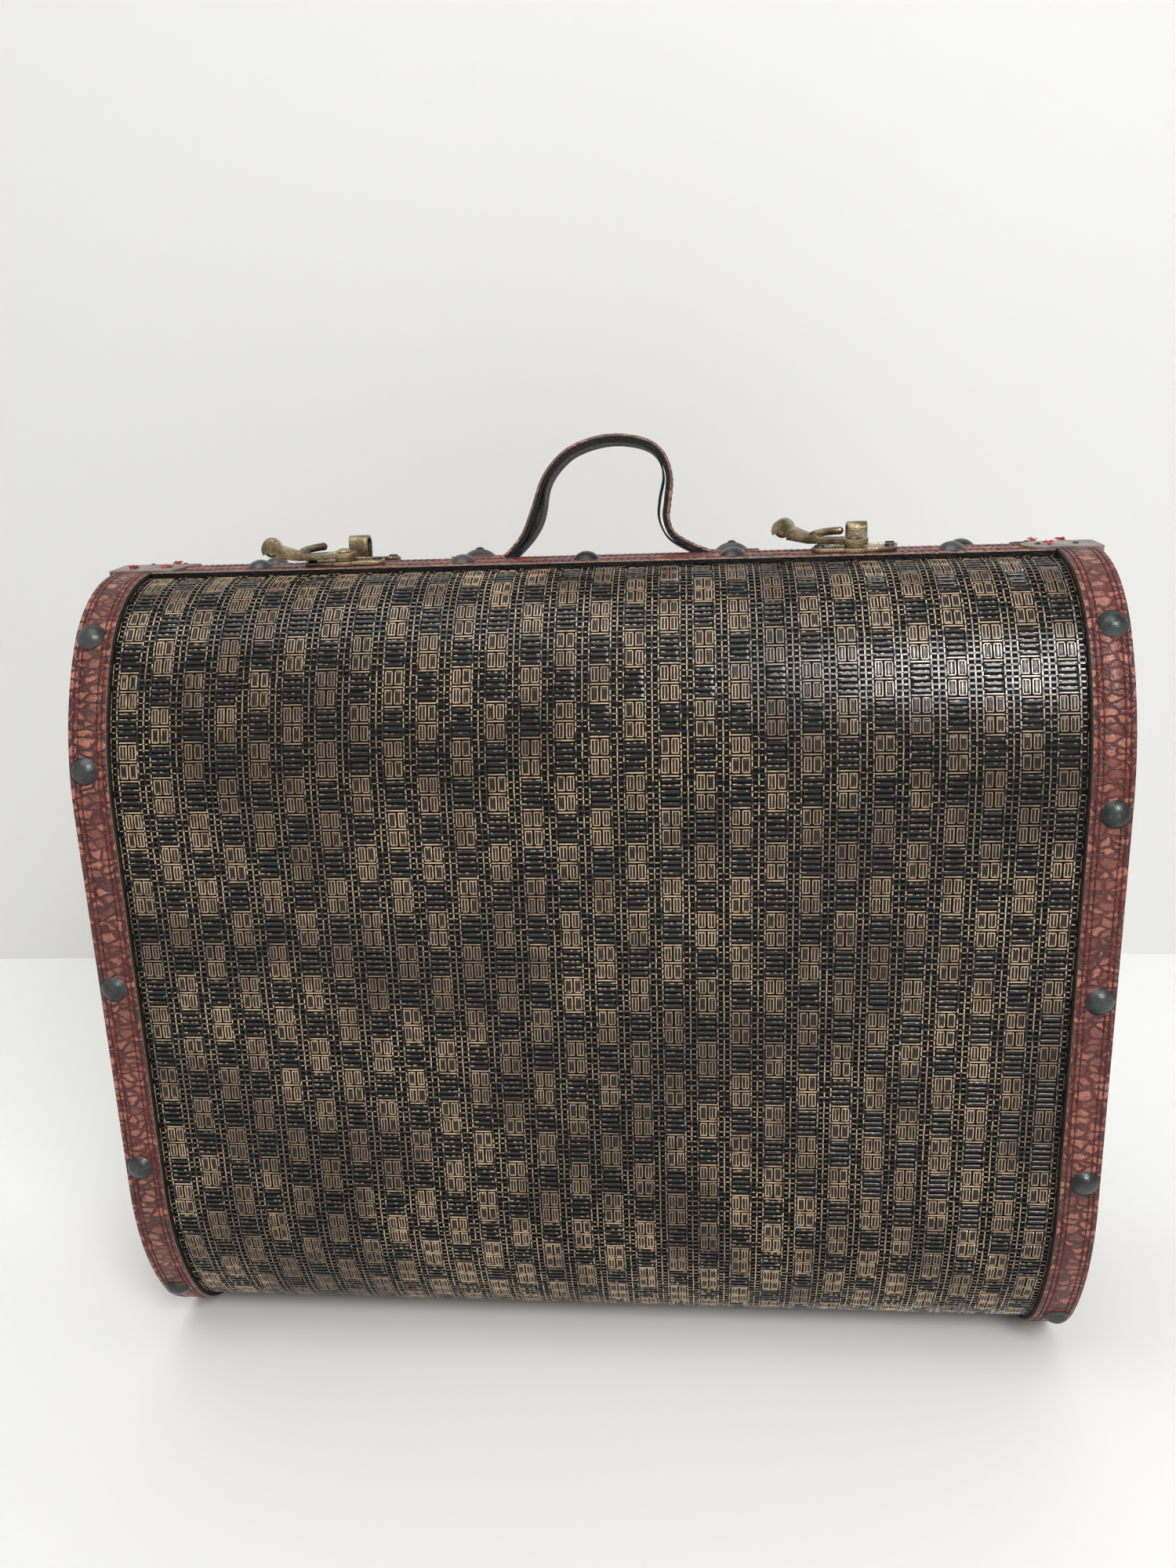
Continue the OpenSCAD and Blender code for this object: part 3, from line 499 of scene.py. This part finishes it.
puffed = ranged(hide, edges.outputs["Distance"], 0.09, 0.21, 0.0, 1.0)
lot = node(hide, "ShaderNodeSeparateColor", {0: scales.outputs["Color"]}).outputs[0]
hide.links.new(worked_out(hide, "MULTIPLY", puffed, ranged(hide, lot, 0.1, 0.8, 0.3, 1.0)), put["Scales"])
hide.links.new(pores, put["Grain"])

leather_red, tree, shader, place = new_material("leather_red", Specular_IOR_Level=0.55)
skin = node(tree, "ShaderNodeGroup", {"Vector": place, "Cells": 260.0}, node_tree=hide).outputs
age_here = aged(tree, place, 34.0)
hide_tone = mixed(tree, age_here["Patches"], colour(70, 24, 21), colour(98, 40, 33))
hide_tone = mixed(tree, worked_out(tree, "MULTIPLY", skin["Scales"], 0.9), hide_tone, colour(176, 113, 92))
hide_tone = mixed(tree, worked_out(tree, "MULTIPLY", skin["Cracks"], 0.55), hide_tone, colour(50, 16, 16))
raw = node(tree, "ShaderNodeAttribute", attribute_name="raw_edge").outputs["Fac"]
hide_tone = mixed(tree, ranged(tree, age_here["Specks"], 0.5, 1.0, 0.0, 0.4), hide_tone, colour(66, 28, 26))
hide_tone = mixed(tree, raw, hide_tone, colour(160, 134, 119))
# The leather is darker in the groove under each row of stitches.
groove_dark = node(tree, "ShaderNodeAttribute", attribute_name="groove_dark").outputs["Fac"]
hide_tone = mixed(tree, worked_out(tree, "MULTIPLY", groove_dark, 0.8), hide_tone, colour(74, 16, 20))
tree.links.new(hide_tone, shader.inputs["Base Color"])
tree.links.new(ranged(tree, skin["Grain"], 0.3, 0.7, 0.3, 0.46), shader.inputs["Roughness"])
islands = worked_out(tree, "SUBTRACT", skin["Scales"], skin["Cracks"])
bumped(tree, shader, worked_out(tree, "MULTIPLY_ADD", skin["Grain"], 0.25, islands), 0.00022)

leather_black = aged_material("leather_black", 60.0, colour(10, 9, 9), colour(22, 19, 18), (0.45, 0.65), 0.0002,
    Specular_IOR_Level=0.25)


def turned_out(mesh):
    """Turns the faces of a closed mesh outwards."""
    shell = bmesh.new()
    shell.from_mesh(mesh)
    bmesh.ops.recalc_face_normals(shell, faces=shell.faces)
    shell.to_mesh(mesh)
    shell.free()


floor_gap = 0.02


def swept(name, stations, section, material, marks_on=None, corner=45):
    """A closed section of (across, height) in mm, carried along stations of place, side and normal."""
    points, count = [], len(section)
    for place, side, normal in stations:
        for across, height in section:
            point = place + (side * across + normal * height) * mm
            low = max(floor_gap, (bevel_run - abs(point.y) / mm) * bevel + floor_gap) * mm
            point.z = max(point.z, low)
            points.append(point)
    faces = [(i * count + j, i * count + (j + 1) % count, (i + 1) * count + (j + 1) % count, (i + 1) * count + j)
        for i in range(len(stations) - 1) for j in range(count)]
    faces += [tuple(range(count)), tuple(range((len(stations) - 1) * count, len(stations) * count))]
    mesh = plain_mesh(name, points, (), faces)
    for label, values in (marks_on or {}).items():
        marked = mesh.attributes.new(label, "FLOAT", "POINT")
        for i in range(len(points)):
            marked.data[i].value = values[i % count]
    turned_out(mesh)
    mesh.shade_smooth()
    mesh.set_sharp_from_angle(angle=math.radians(corner))
    mesh.materials.append(material)
    return linked(name, mesh)


groove_half, groove_t, thread_sink = 0.42, 0.34, 0.2


def sewn_section(width, low, high, rows, inner=0.0, edge=0.25):
    """The outline of a leather strip with rounded edges and a groove under each row of stitches, and its marks: darker
    in each groove, and the raw sides.
    """
    profile = [(inner, low, 0.0), (inner, high - edge, 0.0), (inner + edge * 0.3, high - edge * 0.3, 0.0),
        (inner + edge, high - 0.03, 0.0)]
    for where in rows:
        profile += [(where - groove_half, high - 0.04, 0.2), (where, high - groove_t, 1.0),
            (where + groove_half, high - 0.04, 0.2)]
    profile += [(width - edge, high - 0.03, 0.0), (width - edge * 0.3, high - edge * 0.3, 0.0),
        (width, high - edge, 0.0), (width, low, 0.0)]
    spread_out = []
    for a, b in zip(profile, profile[1:]):
        spread_out.append(a)
        if b[0] - a[0] > 1.2:
            middle = (a[0] + b[0]) / 2
            spread_out.append((middle, high, 0.0))
    spread_out.append(profile[-1])
    sides = (inner, width)
    return ([(across, height) for across, height, mark in spread_out],
        {"groove_dark": [mark for across, height, mark in spread_out],
            "raw_edge": [float(across in sides) for across, height, mark in spread_out]})


sewing, given, put = geometry_tree("sewing", [("Stitch", "Object"), ("Pitch", "Float"), ("Side", "Vector"),
    ("Sway", "Float"), ("Seed", "Int"), ("Finish", "Material")])
thread_line = node(sewing, "GeometryNodeMeshToCurve", {"Mesh": given["Geometry"]}).outputs[0]
holes = node(sewing, "GeometryNodeResampleCurve", {"Curve": thread_line, "Length": given["Pitch"]},
    mode="LENGTH").outputs[0]
way = node(sewing, "GeometryNodeInputTangent").outputs[0]
away = vector_step(sewing, "CROSS_PRODUCT", given["Side"], way)
low_sway = worked_out(sewing, "MULTIPLY", given["Sway"], -1.0)
swing = node(sewing, "FunctionNodeRandomValue", {2: low_sway, 3: given["Sway"], "Seed": given["Seed"]},
    data_type="FLOAT")
swung = vector_step(sewing, "ADD", way, vector_step(sewing, "SCALE", given["Side"], scale=swing.outputs[1]))
turned = node(sewing, "FunctionNodeAxesToRotation", {"Primary Axis": swung, "Secondary Axis": away}, primary_axis="X",
    secondary_axis="Z").outputs[0]
sewn_on = node(sewing, "GeometryNodeInstanceOnPoints", {"Points": holes, "Instance": shape_of(sewing, given["Stitch"]),
    "Rotation": turned}).outputs[0]
real = node(sewing, "GeometryNodeRealizeInstances", {0: sewn_on}).outputs[0]
dyed = node(sewing, "GeometryNodeSetMaterial", {"Geometry": real, "Material": given["Finish"]}).outputs[0]
sewing.links.new(dyed, put[0])

thread_dark = aged_material("thread_dark", 120.0, colour(58, 12, 16), colour(98, 30, 30), bump=0.0001, Roughness=0.75)


def spindle(name, rings, sides, place, along, up):
    """A closed smooth solid round a line, from rings of distance along it, radius and lift, in mm."""
    across = along.cross(up)
    turns = [2 * math.pi * k / sides for k in range(sides)]
    points = [place + (along * far + up * (lift + radius * math.sin(turn)) + across * radius * math.cos(turn)) * mm
        for far, radius, lift in rings for turn in turns]
    faces = [(i * sides + k, i * sides + (k + 1) % sides, (i + 1) * sides + (k + 1) % sides, (i + 1) * sides + k)
        for i in range(len(rings) - 1) for k in range(sides)]
    faces += [tuple(range(sides)), tuple(range(len(points) - sides, len(points)))]
    mesh = plain_mesh(name, points, (), faces)
    turned_out(mesh)
    mesh.shade_smooth()
    return linked(name, mesh)


stitch_l, stitch_r = 2.2, 0.31
stitch = spindle("stitch", [(share * stitch_l, full * stitch_r, lift) for share, full, lift in ((-0.5, 0.25, -0.16),
    (-0.36, 0.85, 0.0), (0.0, 1.0, 0.1), (0.36, 0.85, 0.0), (0.5, 0.25, -0.16))], 6, Vector(), Vector((1, 0, 0)),
    Vector((0, 0, 1)))


def sewn(name, body, rows, side, seed, pitch=2.65):
    """Stitches along rows of points, which lie flat across the side given."""
    points, pairs = [], []
    for one_row in rows:
        pairs += [(len(points) + i, len(points) + i + 1) for i in range(len(one_row) - 1)]
        points += one_row
    piece = grown(name, plain_mesh(name, points, pairs), sewing, Stitch=stitch, Pitch=pitch * mm, Side=tuple(side),
        Sway=0.16, Seed=seed, Finish=thread_dark)
    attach(piece, body)


backing_t, ledge = 2.2, 0.85
edge_rows = (2.7, 4.6, 12.2, 14.1)
red_section, red_marks = sewn_section(band_w, backing_t - 0.1, band_t, edge_rows, ledge)
black_section = [(0.0, -0.2), (0.0, backing_t - 0.3), (0.12, backing_t - 0.1), (0.35, backing_t),
    (band_w - 0.02, backing_t), (band_w - 0.02, -0.2)]
for half, seed in (("front", 21), ("back", 31)):
    line_points = case_line(band_t, half == "front")
    rows = []
    for end, out_x in (("left", -1), ("right", 1)):
        inner_x = out_x * (case_w / 2 - band_w) * mm
        stations = [(point + Vector((inner_x, 0, 0)), Vector((out_x, 0, 0)), normal) for point, normal in line_points]
        band = swept(half + "_" + end + "_band_leather", stations, red_section, leather_red, red_marks)
        backing = swept(half + "_" + end + "_band_backing", stations, black_section, leather_black)
        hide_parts(half + "_" + end + "_band")
        for piece in (band, backing):
            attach(piece, half + "_half")
        for across in edge_rows:
            rows.append([place + (side * across + normal * (band_t - thread_sink)) * mm
                for place, side, normal in stations[2:-1]])
    sewn(half + "_band_stitches", half + "_half", rows, (1.0 if half == "front" else -1.0, 0.0, 0.0), seed)

# Rims. Straight strips of the same sewn leather along the two mouths of the case, butted against the bands; the back
# one is in three stretches, because the two ends of the handle's strap lie between them.
rim_mid_y, rim_half = (rim_w + seam) / 2, (rim_w - seam) / 2 / math.cos(slope)
rim_mid_z = case_h + (rim_w - rim_mid_y) * math.tan(slope)
rim_rows = (2.4, 4.4, 11.4, 13.4)
rim_section, rim_marks = sewn_section(2 * rim_half, -band_t + backing_t, 0.0, rim_rows, 0.0, 0.3)


def square_section(left, right, low, high):
    """The section of a plain layer of leather."""
    return [(left, low), (left, high), (right, high), (right, low)]


rim_back_section = square_section(0.02, 2 * rim_half - 0.02, -band_t + 0.1, -band_t + backing_t + 0.02)


def rim_frame(half):
    """The seam edge of a half's rim at x = 0, the way out across it and its normal."""
    sign = -1 if half == "front" else 1
    across = Vector((0, sign * math.cos(slope), -math.sin(slope)))
    normal = Vector((0, sign * math.sin(slope), math.cos(slope)))
    return Vector((0, sign * rim_mid_y, rim_mid_z)) * mm - across * rim_half * mm, across, normal


rim_step = 4
rim_stretches = {"front": [(-183.9, 183.9)], "back": [(-183.9, -59.5), (-32.0, 41.0), (69.5, 183.9)]}
for half, seed in (("front", 41), ("back", 51)):
    start, across, normal = rim_frame(half)
    rows = []
    for number, (x0, x1) in enumerate(rim_stretches[half]):
        count = round((x1 - x0) / rim_step)
        stations = [(start + Vector(((x0 + (x1 - x0) * i / count) * mm, 0, 0)), across, normal)
            for i in range(count + 1)]
        strip = swept(f"{half}_rim_leather_{number}", stations, rim_section, leather_red, rim_marks)
        under = swept(f"{half}_rim_backing_{number}", stations, rim_back_section, leather_black)
        if number == 0:
            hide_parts(half + "_top_rim")
        for piece in (strip, under):
            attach(piece, half + "_half")
        for where in rim_rows:
            rows.append([place + (side * where - out * thread_sink) * mm for place, side, out in stations])
    sewn(half + "_rim_stitches", half + "_half", rows, -across if half == "back" else across, seed)

dress(leather_red, "front_bottom_rim", "back_bottom_rim", "front_left_rim", "front_right_rim", "back_left_rim",
    "back_right_rim")
end_rim_x, end_rim_rows, end_rim_levels = 201.55, (2.6, 4.6, 11.8, 13.8), range(4, 329, 4)
for half, sign, seed in (("front", -1, 61), ("back", 1, 71)):
    for end, out_x in (("left", -1), ("right", 1)):
        rows = [[Vector((out_x * end_rim_x, sign * y, z)) * mm for z in end_rim_levels] for y in end_rim_rows]
        sewn(f"{half}_{end}_rim_stitches", half + "_half", rows, (0.0, float(out_x), 0.0), seed + out_x)

# Corner plates. Small plates of folded tin over the upper corners of the rims, each held by two pins. Frayed ends of
# bright red thread are caught under some of the pins.
tin = aged_material("tin", 90.0, colour(116, 103, 98), colour(150, 139, 132), (0.36, 0.52), 0.00006, Metallic=0.55,
    Specular_IOR_Level=0.5)
dress(tin, "front_left_corner", "front_right_corner", "back_left_corner", "back_right_corner")

fray, given, put = geometry_tree("fray", [("Strand", "Object"), ("Count", "Int"), ("Spread", "Vector"),
    ("Thin", "Vector"), ("Seed", "Int"), ("Finish", "Material")])
ends = node(fray, "GeometryNodeDuplicateElements", {"Geometry": given["Geometry"], "Amount": given["Count"]},
    domain="POINT")
less = vector_step(fray, "MULTIPLY", given["Spread"], (-1.0, -1.0, 0.0))
strewn = node(fray, "FunctionNodeRandomValue", {0: less, 1: given["Spread"], "Seed": given["Seed"]},
    data_type="FLOAT_VECTOR").outputs[0]
loose_ends = node(fray, "GeometryNodeSetPosition", {"Geometry": ends.outputs[0], "Offset": strewn}).outputs[0]
tossed = node(fray, "FunctionNodeRandomValue", {0: (-0.5, -0.9, -3.1), 1: (0.5, 0.5, 3.1), "Seed": given["Seed"]},
    data_type="FLOAT_VECTOR").outputs[0]
strands = node(fray, "GeometryNodeInstanceOnPoints", {"Points": loose_ends, "Instance": shape_of(fray, given["Strand"]),
    "Rotation": tossed, "Scale": given["Thin"]}).outputs[0]
real = node(fray, "GeometryNodeRealizeInstances", {0: strands}).outputs[0]
dyed = node(fray, "GeometryNodeSetMaterial", {"Geometry": real, "Material": given["Finish"]}).outputs[0]
fray.links.new(dyed, put[0])

thread_bright = aged_material("thread_bright", 300.0, colour(176, 30, 44), colour(222, 96, 100), bump=0.0001,
    Roughness=0.7)
pin_y, pin_z = 9.6, 345.2
for half, sign, seed, pinned in (("front", -1, 91, (-194.4, -181.2, 182.8)), ("back", 1, 92, (-183.0, 181.6, 193.0))):
    pin_spots = [Vector((x, sign * pin_y, pin_z)) * mm for x in pinned]
    tufts = grown(half + "_corner_frays", plain_mesh("frays", pin_spots), fray, Strand=stitch, Count=16,
        Spread=(0.0014, 0.0012, 0.0008), Thin=(1.2, 0.6, 0.6), Seed=seed, Finish=thread_bright)
    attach(tufts, half + "_half")

# Nails and pins. Domed iron upholstery nails driven through the bands and rims, small pins in the corner plates and
# the two fluted rosettes of the handle, all pressed from the same dark iron.
gunmetal = aged_material("gunmetal", 130.0, colour(48, 50, 51), colour(76, 77, 77), (0.22, 0.32), 0.00003,
    Metallic=0.75, Specular_IOR_Level=0.7)


def eased(node_name, body, material, width):
    """A copy of a CAD node with its doubles merged and its sharp edges eased, which stands for the node."""
    mesh = cad[node_name].data.copy()
    shell = bmesh.new()
    shell.from_mesh(mesh)
    bmesh.ops.remove_doubles(shell, verts=shell.verts, dist=0.000005)
    bmesh.ops.dissolve_limit(shell, angle_limit=math.radians(1.0), verts=shell.verts, edges=shell.edges)
    shell.to_mesh(mesh)
    shell.free()
    piece = linked(node_name + "_eased", mesh)
    if width:
        bevel_edges = piece.modifiers.new("eased", "BEVEL")
        bevel_edges.width = width * mm
        bevel_edges.segments = 2
        bevel_edges.limit_method = "ANGLE"
        bevel_edges.angle_limit = math.radians(40)
    graph = bpy.context.evaluated_depsgraph_get()
    finished = bpy.data.meshes.new_from_object(piece.evaluated_get(graph), depsgraph=graph)
    piece.modifiers.clear()
    piece.data = finished
    finished.shade_smooth()
    finished.set_sharp_from_angle(angle=math.radians(35))
    finished.materials.clear()
    finished.materials.append(material)
    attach(piece, body)
    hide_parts(node_name)


for half in ("front", "back"):
    eased(half + "_nails", half + "_half", gunmetal, 0)
    eased(half + "_corner_pins", half + "_half", gunmetal, 0)
for end in ("left", "right"):
    eased(end + "_rosette", "back_half", gunmetal, 0)

# Handle. A sewn leather strap that bows up between two rosettes on the back rim, with a black backing that has come
# away from it on the inside of the bow.
strap_t, strap_w, strap_rest, left_x, span, rise = 3.6, 15.56, -0.9, -48.5, 107.0, 47.0
handle_line = [(0.09, 0.003), (0.122, 0.02), (0.19, 0.19), (0.235, 0.42), (0.28, 0.68), (0.355, 0.87), (0.445, 0.965),
    (0.55, 1.0), (0.66, 0.96), (0.725, 0.86), (0.755, 0.68), (0.748, 0.47), (0.742, 0.32), (0.765, 0.18),
    (0.825, 0.085), (0.9, 0.012)]
knots = [Vector((x, strap_rest)) for x in (left_x - 10.9, left_x, left_x + 7.5)]
knots += [Vector((left_x + x * span, strap_rest + z * (rise - strap_rest))) for x, z in handle_line]
knots += [Vector((x, strap_rest)) for x in (51.0, 58.5, 69.4)]


def smooth_line(points, steps):
    """A smooth line through points, as the case's strap bends."""
    last, made = len(points) - 1, []
    for i in range(last):
        a, b, c, d = points[max(i - 1, 0)], points[i], points[i + 1], points[min(i + 2, last)]
        for s in range(steps):
            t = s / steps
            made.append((2 * b + (c - a) * t + (2 * a - 5 * b + 4 * c - d) * t * t
                + (3 * b - a - 3 * c + d) * t * t * t) * 0.5)
    return made + [points[last]]


strap_line = smooth_line(knots, 5)
start, across, normal = rim_frame("back")
rim_middle = start + across * rim_half * mm
strap_stations = []
for i, point in enumerate(strap_line):
    onward = (strap_line[min(i + 1, len(strap_line) - 1)] - strap_line[max(i - 1, 0)]).normalized()
    way_on = Vector((onward.x, 0, 0)) + normal * onward.y
    place = rim_middle + (Vector((point.x, 0, 0)) + normal * point.y) * mm
    strap_stations.append((place, across, across.cross(way_on) * -1))
half_strap, strap_rows = strap_w / 2, (2.2, 4.1, 11.4, 13.3)
top_section, top_marks = sewn_section(strap_w, 0.8, strap_t / 2, strap_rows, 0.0, 0.45)
top_marks["raw_edge"] = [0.3 * mark for mark in top_marks["raw_edge"]]
strap = swept("handle_leather", strap_stations, [(a - half_strap, h) for a, h in top_section], leather_red, top_marks)
core_section = square_section(-half_strap + 0.05, half_strap - 0.05, -1.0, 0.82)
core = swept("handle_core", strap_stations, core_section, leather_black)
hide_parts("handle_strap")


def parted(height, most, level, reach):
    """How far the backing stands off at a height of the bow, which is most at one level."""
    return most * math.exp(-((height - level) / reach) ** 2)


loose = []
for (place, side, out), (x, height) in zip(strap_stations, strap_line):
    gap = 0.0
    if x < 0:
        gap = parted(height, 2.0, 16, 9.0)
    elif x > 25:
        gap = parted(height, 1.5, 20, 11.0)
    loose.append((place - out * gap * mm, side, out))
lining_section = square_section(-half_strap + 0.1, half_strap - 0.1, -strap_t / 2, -1.05)
flap = swept("handle_lining", loose, lining_section, leather_black)
for piece in (strap, core, flap):
    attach(piece, "back_half")
rows = [[place + (side * (where - half_strap) + out * (strap_t / 2 - thread_sink)) * mm
    for place, side, out in strap_stations[4:-4]] for where in strap_rows]
sewn("handle_stitches", "back_half", rows, -across, 81)

# Latches. Cast brass plates screwed to the rims. On the front one a horn turns on a rivet: its finger hooks under the
# staple of the back one, and its thumb is curled over and rolled up at the end.
old_brass = aged_material("old_brass", 110.0, colour(88, 77, 60), colour(160, 142, 113), (0.22, 0.38), 0.00005,
    specks=(0.5, 1.0, 0.4, colour(70, 61, 50)), Metallic=0.9, Specular_IOR_Level=0.5)
for end in ("left", "right"):
    eased(end + "_horn_plate", "front_half", old_brass, 0.35)
    eased(end + "_staple_plate", "back_half", old_brass, 0.35)
    eased(end + "_staple", "back_half", old_brass, 0.3)
    eased(end + "_horn", end + "_horn", old_brass, 0.4)
    eased(end + "_rivet", "front_half", old_brass, 0)

start, across, normal = rim_frame("front")
curl_out, curl_up = 28.8, 8.46
half_roll = [(0.0, 3.5), (2.6, 3.3), (3.45, 2.8), (3.7, 1.9)]
roll_rings = [(-far, radius, 0.0) for far, radius in reversed(half_roll[1:])]
roll_rings += [(far, radius, 0.0) for far, radius in half_roll]
for end, pivot_x, arm in (("left", -103.0, math.radians(197)), ("right", 107.0, math.radians(165))):
    outward = Vector((math.cos(arm), 0, 0)) - across * math.sin(arm)
    middle = start + across * rim_half * mm + (Vector((pivot_x, 0, 0)) + outward * curl_out + normal * curl_up) * mm
    roll = spindle(end + "_horn_roll", roll_rings, 20, middle, outward.cross(normal), normal)
    roll.data.materials.append(old_brass)
    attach(roll, end + "_horn")

# Screws. Slotted screws of blackened steel, turned down through the latch plates, the staple plates and the rosettes
# into the rims.
dark_screw = aged_material("dark_screw", 160.0, colour(38, 37, 36), colour(64, 60, 56), (0.4, 0.6), Metallic=0.7,
    Specular_IOR_Level=0.5)
dress(dark_screw, "horn_plate_screws", "staple_screws", "handle_screws")

# Hinges. Two steel butt hinges under the bottom seam, let into the leather and screwed to the boards, with a pin
# through the knuckles of each pair of leaves.
dress(gunmetal, "left_hinge_front_leaf", "right_hinge_front_leaf", "left_hinge_back_leaf", "right_hinge_back_leaf",
    "left_hinge_pin", "right_hinge_pin")
dress(dark_screw, "front_hinge_screws", "back_hinge_screws")

# Patterns. The stamps, their spots and the single stitch were only there to be repeated, and they are no part of the
# case, so they leave the scene.
for helper in [block, bar, stitch] + list(marks.values()):
    bpy.data.objects.remove(helper)
